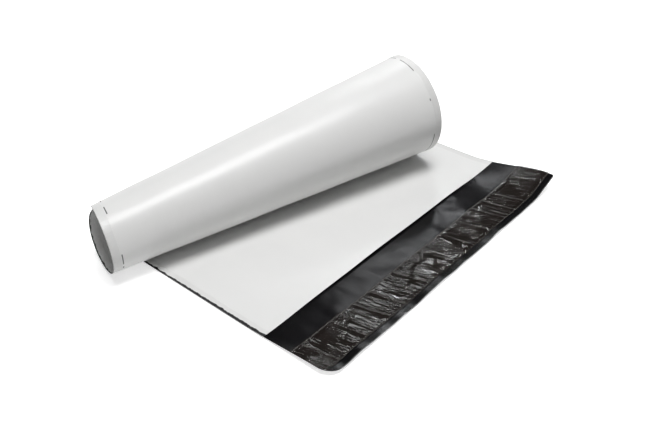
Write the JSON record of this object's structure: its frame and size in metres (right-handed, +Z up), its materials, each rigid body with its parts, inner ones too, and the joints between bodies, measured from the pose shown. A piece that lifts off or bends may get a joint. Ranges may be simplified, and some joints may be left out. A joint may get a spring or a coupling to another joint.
{
  "type": "poly mailer bag",
  "caption": "Flat white plastic mailing bag with an open black adhesive flap under a clear liner, its closed end rolled up into a loose roll.",
  "frame": {"origin": "middle of the object's footprint, on the surface it lies on", "axes": "+X along the roll, from its narrow end to its wide end; +Y from the flap towards the roll; +Z up"},
  "size_m": [0.308, 0.1992, 0.0797],
  "materials": {
    "bag_film": "satin white polyethylene film, black on its inner face",
    "adhesive_strip": "translucent hot-melt adhesive",
    "release_liner": "clear glossy film"
  },
  "bodies": {
    "root": {"bag_film": "bag_film", "adhesive_strip": "adhesive_strip", "release_liner": "release_liner"}
  },
  "joints": []
}
